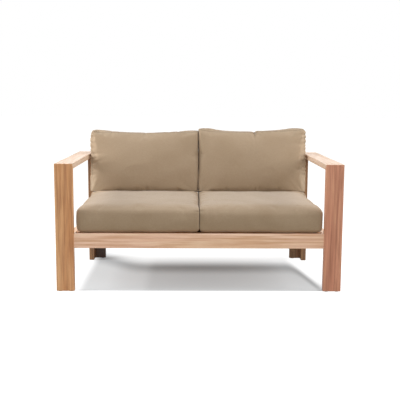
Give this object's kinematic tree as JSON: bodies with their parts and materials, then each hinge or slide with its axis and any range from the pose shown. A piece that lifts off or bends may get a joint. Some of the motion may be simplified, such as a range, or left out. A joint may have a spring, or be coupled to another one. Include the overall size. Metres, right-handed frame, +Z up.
{
  "type": "patio loveseat",
  "caption": "Low timber loveseat for a patio, with flat board arms, a slatted seat and back, and loose seat and back cushions.",
  "frame": {"origin": "on the floor, under the middle of the whole loveseat's box", "axes": "+Z up; +Y towards the rear, so the front faces -Y; +X to the right of someone who stands in front and faces it"},
  "size_m": [1.4, 0.815, 0.7747],
  "materials": {
    "timber": "satin",
    "slat_timber": "matte",
    "dowel": "matte",
    "steel": "satin",
    "glide": "matte",
    "cover_fabric": "matte",
    "filling": "matte",
    "zip": "matte"
  },
  "bodies": {
    "frame": {"arm_dowels": "dowel", "arm_left": "timber", "arm_plates": "steel", "arm_right": "timber", "back_shelf": "timber", "back_slat_1": "slat_timber", "back_slat_2": "slat_timber", "back_slat_3": "slat_timber", "back_slat_4": "slat_timber", "back_slat_5": "slat_timber", "back_slat_6": "slat_timber", "back_slat_7": "slat_timber", "back_slat_8": "slat_timber", "back_top_rail": "timber", "barrel_nuts": "steel", "centre_beam": "slat_timber", "corner_block_front_left": "slat_timber", "corner_block_front_right": "slat_timber", "corner_block_rear_left": "slat_timber", "corner_block_rear_right": "slat_timber", "foot_glides": "glide", "frame_screws": "steel", "front_bolts": "steel", "front_leg_left": "timber", "front_leg_right": "timber", "front_rail": "timber", "plate_screws": "steel", "rail_dowels": "dowel", "rear_bolts": "steel", "rear_leg_back_left": "timber", "rear_leg_back_right": "timber", "rear_leg_side_left": "timber", "rear_leg_side_right": "timber", "rear_rail": "timber", "seat_slat_1": "slat_timber", "seat_slat_2": "slat_timber", "seat_slat_3": "slat_timber", "seat_slat_4": "slat_timber", "seat_slat_5": "slat_timber", "seat_slat_6": "slat_timber", "seat_slat_7": "slat_timber", "shelf_brackets": "steel", "side_rail_left": "timber", "side_rail_right": "timber", "slat_cleat_left": "slat_timber", "slat_cleat_right": "slat_timber", "slat_screws": "steel"},
    "back_cushion_left": {"back_cushion_cover_left": "cover_fabric", "back_cushion_filling_left": "filling", "back_cushion_zip_left": "zip"},
    "back_cushion_right": {"back_cushion_cover_right": "cover_fabric", "back_cushion_filling_right": "filling", "back_cushion_zip_right": "zip"},
    "seat_cushion_left": {"seat_cushion_cover_left": "cover_fabric", "seat_cushion_filling_left": "filling", "seat_cushion_zip_left": "zip"},
    "seat_cushion_right": {"seat_cushion_cover_right": "cover_fabric", "seat_cushion_filling_right": "filling", "seat_cushion_zip_right": "zip"}
  },
  "joints": [
    {"name": "seat_cushion_left_pull", "type": "slide", "parent": "frame", "child": "seat_cushion_left", "axis": [0, -1, 0], "range_m": [0, 0.7]},
    {"name": "back_cushion_left_lift", "type": "slide", "parent": "frame", "child": "back_cushion_left", "axis": [0, 0, 1], "range_m": [0, 0.36]},
    {"name": "seat_cushion_right_pull", "type": "slide", "parent": "frame", "child": "seat_cushion_right", "axis": [0, -1, 0], "range_m": [0, 0.7]},
    {"name": "back_cushion_right_lift", "type": "slide", "parent": "frame", "child": "back_cushion_right", "axis": [0, 0, 1], "range_m": [0, 0.36]}
  ]
}
